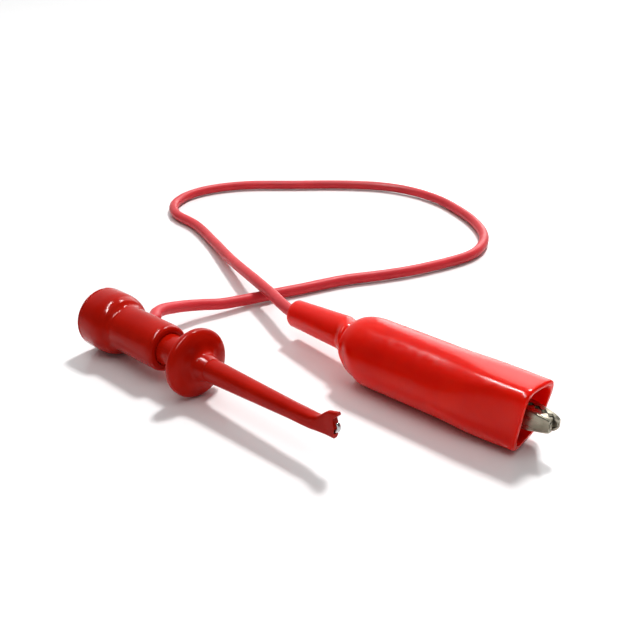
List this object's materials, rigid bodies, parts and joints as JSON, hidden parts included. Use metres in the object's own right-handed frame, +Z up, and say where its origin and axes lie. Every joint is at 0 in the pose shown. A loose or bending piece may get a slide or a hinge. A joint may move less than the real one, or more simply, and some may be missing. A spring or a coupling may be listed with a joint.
{
  "type": "test lead",
  "caption": "Test lead: a spring plunger mini-hook and a booted alligator clip joined by a thin flexible cord lying in one open loop.",
  "frame": {"origin": "on the surface that the lead lies on, under the middle of the box round the mini-hook and the clip, the free cord left out", "axes": "+X along the boot towards the clip's jaws, +Z up from the surface that the lead lies on; the cord's loop lies towards +Y and -X"},
  "size_m": [0.1306, 0.1118, 0.0115],
  "materials": {
    "hard_red": "glossy moulded nylon, deep red",
    "boot_vinyl": "glossy, slightly translucent soft vinyl, bright red",
    "cord_vinyl": "satin soft vinyl insulation, crimson",
    "nickel": "nickel-plated stamped steel",
    "spring_steel": "bright spring wire",
    "brass": "turned brass",
    "copper": "bare copper strands"
  },
  "bodies": {
    "lead": {"plunger_shell": "hard_red", "plunger_cap": "hard_red", "hook_wire": "spring_steel", "hook_ferrule": "brass", "plunger_spring": "spring_steel", "hook_end_conductor": "copper", "lead_cord": "cord_vinyl", "clip_end_conductor": "copper", "fixed_jaw": "nickel", "pivot_rivet": "nickel", "jaw_spring": "spring_steel", "boot": "boot_vinyl"},
    "nose": {"nose_body": "hard_red"},
    "near_jaw": {"moving_jaw": "nickel"}
  },
  "joints": [
    {"name": "plunger_press", "type": "slide", "parent": "lead", "child": "nose", "axis": [-0.9995, 0.0279, -0.0139], "range_m": [0, 0.005], "stiffness_N_per_m": 100, "springref_m": -0.01, "deforming": ["plunger_spring"]},
    {"name": "jaw_open", "type": "hinge", "parent": "lead", "child": "near_jaw", "pos_m": [0.02024, 0.011, 0.00575], "axis": [0, 0, -1], "range_deg": [0, 15], "stiffness_Nm_per_rad": 0.03, "springref_deg": -57.3, "deforming": ["jaw_spring", "boot"]}
  ]
}
